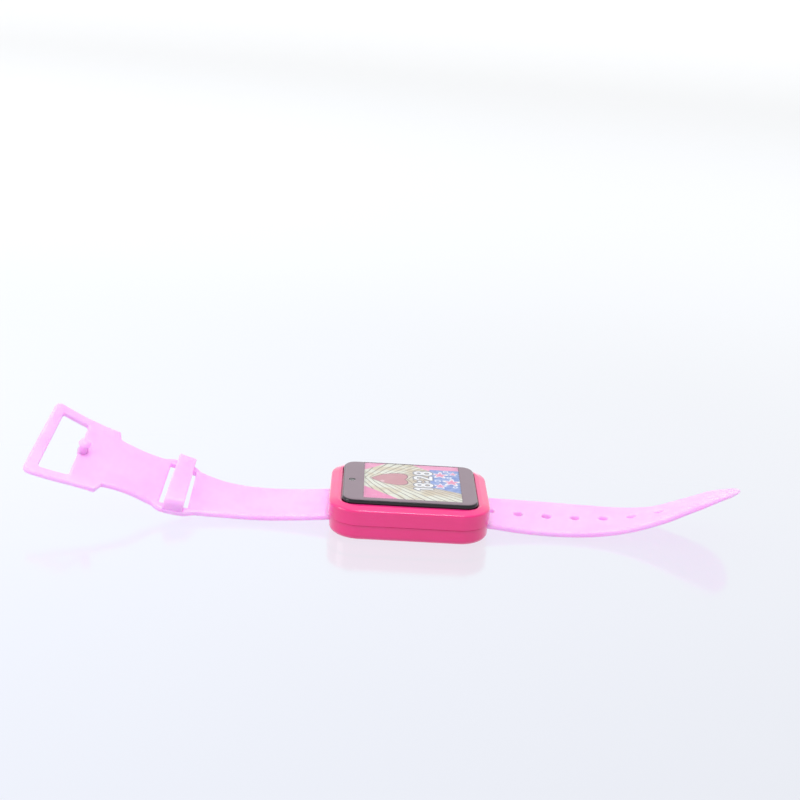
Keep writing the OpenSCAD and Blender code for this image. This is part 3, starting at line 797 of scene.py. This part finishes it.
def hinge(piece, x):
    """The eye at a strap's root, bored for the spring bar."""

    def place(u, v, w):
        return np.stack([x + u, w, PIN_Z + v], 1)

    ends = STRAP_HALF
    rim = 0.3
    profile = [(0, -ends)] + arc((BARREL_R - rim, rim - ends), rim, -90, 0)
    profile += arc((BARREL_R - rim, ends - rim), rim, 0, 90) + [(0, ends)]
    join(piece, lathe("eye", profile, place))
    flare = 0.2
    mouth = BORE_R + flare
    bore = [(0, -ends - 1), (mouth, -ends - 1), (mouth, -ends), (BORE_R, flare - ends)]
    bore += [(r, -h) for r, h in reversed(bore)]
    join(piece, lathe("bore", bore, place), "DIFFERENCE")


def finish_strap(piece, node, body, material):
    for polygon in piece.data.polygons:
        polygon.use_smooth = True
    piece.data.set_sharp_from_angle(angle=math.radians(38))
    piece.data.materials.clear()
    piece.data.materials.append(material)
    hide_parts(node)
    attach(piece, body)


def make_tail(material):
    tip = (8, 7.3, 6.5, 5.6, 4.7, 3.9, 3.2, 2.5, 1.9, 1.4, 1.0, 0.65, 0.35, 0.15, 0)
    stations = list(np.arange(ROOT_S, TAIL_L - TIP_ROUND, 1.0)) + [TAIL_L - d for d in tip]
    edge = split_sides(outline(stations, tail_half), 1.0)
    holes = [circle((HOLE_FIRST + k * HOLE_PITCH, 0), HOLE_R) for k in range(HOLE_N)]
    piece = moulding(
        "strap_tail",
        [edge] + holes,
        [EDGE_R] + [HOLE_EDGE_R] * HOLE_N,
        lambda u, v, w: on_strap(TAIL_ROUTE, u, v, w),
        lambda s: np.full(len(s), STRAP_T / 2),
        lambda s: STRAP_T / 2 - tail_thickness(s),
    )
    hinge(piece, PIN_X)
    finish_strap(piece, "tail_strap", "tail_half", material)


def make_band():
    """The keeper's arch, whose two legs end inside the strap."""
    corner, inner_corner, foot, toe = 1.7, 0.6, -0.4, 0.35
    leg = BAND_OUT + 0.05
    inner = BAND_OUT - BAND_T
    roof = BAND_TOP - BAND_T
    ends = STRAP_T / 2
    loop = [(inner - toe, foot), (leg, foot), (leg, ends), (BAND_OUT, ends + toe)]
    loop += arc((BAND_OUT - corner, BAND_TOP - corner), corner, 0, 90)
    loop += arc((corner - BAND_OUT, BAND_TOP - corner), corner, 90, 180)
    loop += [(-u, v) for u, v in reversed(loop[:4])]
    loop += [(-inner, ends + toe)]
    loop += arc((inner_corner - inner, roof - inner_corner), inner_corner, 180, 90, 4)
    loop += arc((inner - inner_corner, roof - inner_corner), inner_corner, 90, 0, 4)
    loop += [(inner, ends + toe)]
    return moulding(
        "band",
        [split_sides(np.array(loop), 1.2)],
        [SMALL_EDGE_R],
        lambda u, v, w: on_strap(BUCKLE_ROUTE, BAND_S + w, u, v),
        lambda s: np.full(len(s), BAND_L / 2),
        lambda s: np.full(len(s), -BAND_L / 2),
    )


def make_peg():
    """The stud that snaps through a hole of the tail."""
    s = WINDOW[0] - 1
    middle = on_strap(BUCKLE_ROUTE, [s], [0], [0])[0]
    along, across, out = (
        unit(on_strap(BUCKLE_ROUTE, [s + ds], [dc], [dn])[0] - middle)
        for ds, dc, dn in ((0.1, 0, 0), (0, 0.1, 0), (0, 0, 0.1))
    )
    neck, ends, root, fillet, dome = PEG_TOP - 1.75, STRAP_T / 2, PEG_R + 0.1, 0.35, 0.6
    profile = [(0, -0.4), (root, -0.4), (root, ends)]
    profile += arc((PEG_R + fillet, ends + fillet), fillet, 250, 180, 4)
    profile += [(PEG_R, neck), (PEG_R + 0.08, neck + 0.2), (PEG_HEAD_R - 0.1, PEG_TOP - 1.3)]
    profile += [(PEG_HEAD_R, PEG_TOP - 1.15)]
    profile += arc((dome, PEG_TOP - 1.1), PEG_HEAD_R - dome, 5, 85, 8)
    profile += [(0, PEG_TOP)]
    return lathe(
        "peg",
        profile,
        lambda u, v, w: middle + u[:, None] * along + v[:, None] * across + w[:, None] * out,
    )


def make_buckle(material):
    stations = np.concatenate(
        (
            np.arange(ROOT_S, 37, 1.0),
            np.arange(37, 51, 0.5),
            np.arange(51, 63.5, 1.0),
            FRAME_START + np.linspace(-0.9, 0.9, 10),
            np.arange(66.5, FRAME_END - FRAME_ROUND, 1.0),
            FRAME_END - np.array((2, 1.7, 1.35, 1.0, 0.7, 0.45, 0.25, 0.1, 0)),
        )
    )
    edge = split_sides(outline(stations, buckle_half), 1.0)
    keeper = split_sides(round_box(*KEEPER, -KEEPER_HALF, KEEPER_HALF, KEEPER_ROUND), 0.8)
    window = split_sides(round_box(*WINDOW, -WINDOW_HALF, WINDOW_HALF, WINDOW_ROUND), 0.8)
    shoulder = np.abs(edge[:, 0] - FRAME_START - 0.5)
    piece = moulding(
        "strap_buckle",
        [edge, keeper, window],
        [np.interp(shoulder, [0.8, 2.5], [SMALL_EDGE_R, EDGE_R]), HOLE_EDGE_R, WINDOW_EDGE_R],
        lambda u, v, w: on_strap(BUCKLE_ROUTE, u, v, w),
        lambda s: np.full(len(s), STRAP_T / 2),
        lambda s: np.full(len(s), -STRAP_T / 2),
    )
    join(piece, make_band())
    join(piece, make_peg())
    hinge(piece, -PIN_X)
    finish_strap(piece, "buckle_strap", "buckle_half", material)


# ---------- studio ----------


FLOOR_RADIUS = 9.0  # m
FLOOR_DROP = 0.02  # mm, so it doesn't share a plane with the case's back


def make_floor():
    """A light table: a glossy white sheet lit from inside, dimmer to the right and far off."""
    data = bpy.data.meshes.new("floor")
    bm = bmesh.new()
    bmesh.ops.create_circle(bm, cap_ends=True, segments=96, radius=FLOOR_RADIUS)
    bm.to_mesh(data)
    bm.free()
    floor = bpy.data.objects.new("floor", data)
    scene.collection.objects.link(floor)
    floor.location.z = -FLOOR_DROP * MM
    p = Paint("floor_white")
    x, y, _ = p.axes()
    behind, right = (y + x * 0.2).ramp(-70.0, 260.0), x.ramp(-160.0, 160.0)
    far = (y + x * 0.3).ramp(200.0, 1500.0)
    glow = p.mix(behind, (0.74, 0.768, 0.85), (0.656, 0.68, 0.718))
    glow = p.mix(right * 0.5, glow, (0.6, 0.608, 0.63))
    glow = p.mix(far, glow, (0.362, 0.367, 0.37))
    p.set(
        base_color=p.mix(p.noise(90, 2), (0.07, 0.068, 0.071), (0.085, 0.083, 0.087)),
        roughness=p.noise(30, 3) * 0.03 + 0.1,
        specular_ior_level=0.7,
        emission_color=glow,
        emission_strength=1.0,
    )
    data.materials.append(p.material)


def make_world():
    """A white room, dimmer on the right and behind the lens."""
    world = bpy.data.worlds.new("studio")
    scene.world = world
    world.use_nodes = True
    tree = world.node_tree
    place = tree.nodes.new("ShaderNodeTexCoord")
    split = tree.nodes.new("ShaderNodeSeparateXYZ")
    tree.links.new(place.outputs["Generated"], split.inputs[0])
    x, y, _ = (Field(o) for o in split.outputs)
    ahead, right = (y + 0.1).ramp(-0.5, 0.5), x.ramp(0.2, 0.9)
    level = ahead * 0.36 + 0.58 - right * 0.1
    sky = tree.nodes["Background"]
    sky.inputs["Color"].default_value = (0.975, 0.985, 1.0, 1)
    tree.links.new(level.socket, sky.inputs["Strength"])


def add_light(name, where, size, watts):
    """A soft box aimed at the watch. It lights the watch alone, so the table doesn't mirror it."""
    data = bpy.data.lights.new(name, "AREA")
    data.shape = "RECTANGLE"
    data.size, data.size_y = size
    data.energy = watts
    lamp = bpy.data.objects.new(name, data)
    scene.collection.objects.link(lamp)
    lamp.location = where
    lamp.rotation_euler = (Vector() - Vector(where)).to_track_quat("-Z", "Y").to_euler()
    lit = bpy.data.collections.new("lit_by_" + name)
    for piece in scene.objects:
        if piece.type == "MESH" and piece.name != "floor":
            lit.objects.link(piece)
    lamp.light_linking.receiver_collection = lit


place_camera()
materials = make_materials()
slots = {s["node"]: s["material_slot"] for s in frame["record"]["subparts"]}
for node_name, node_object in frame["nodes"].items():
    slot_name = slots.get(node_name, "hot_pink_plastic")
    if not node_object.material_slots:
        node_object.data.materials.append(None)
    for material_slot in node_object.material_slots:
        material_slot.material = materials[slot_name]
make_tail(materials["strap_rubber"])
make_buckle(materials["strap_rubber"])
make_floor()
make_world()
add_light("key", (-0.7, -0.25, 0.3), (0.35, 0.35), 1.4)
add_light("top", (0, -0.2, 0.62), (0.26, 0.12), 2.3)
scene.view_settings.view_transform = "Standard"
scene.view_settings.look = "None"
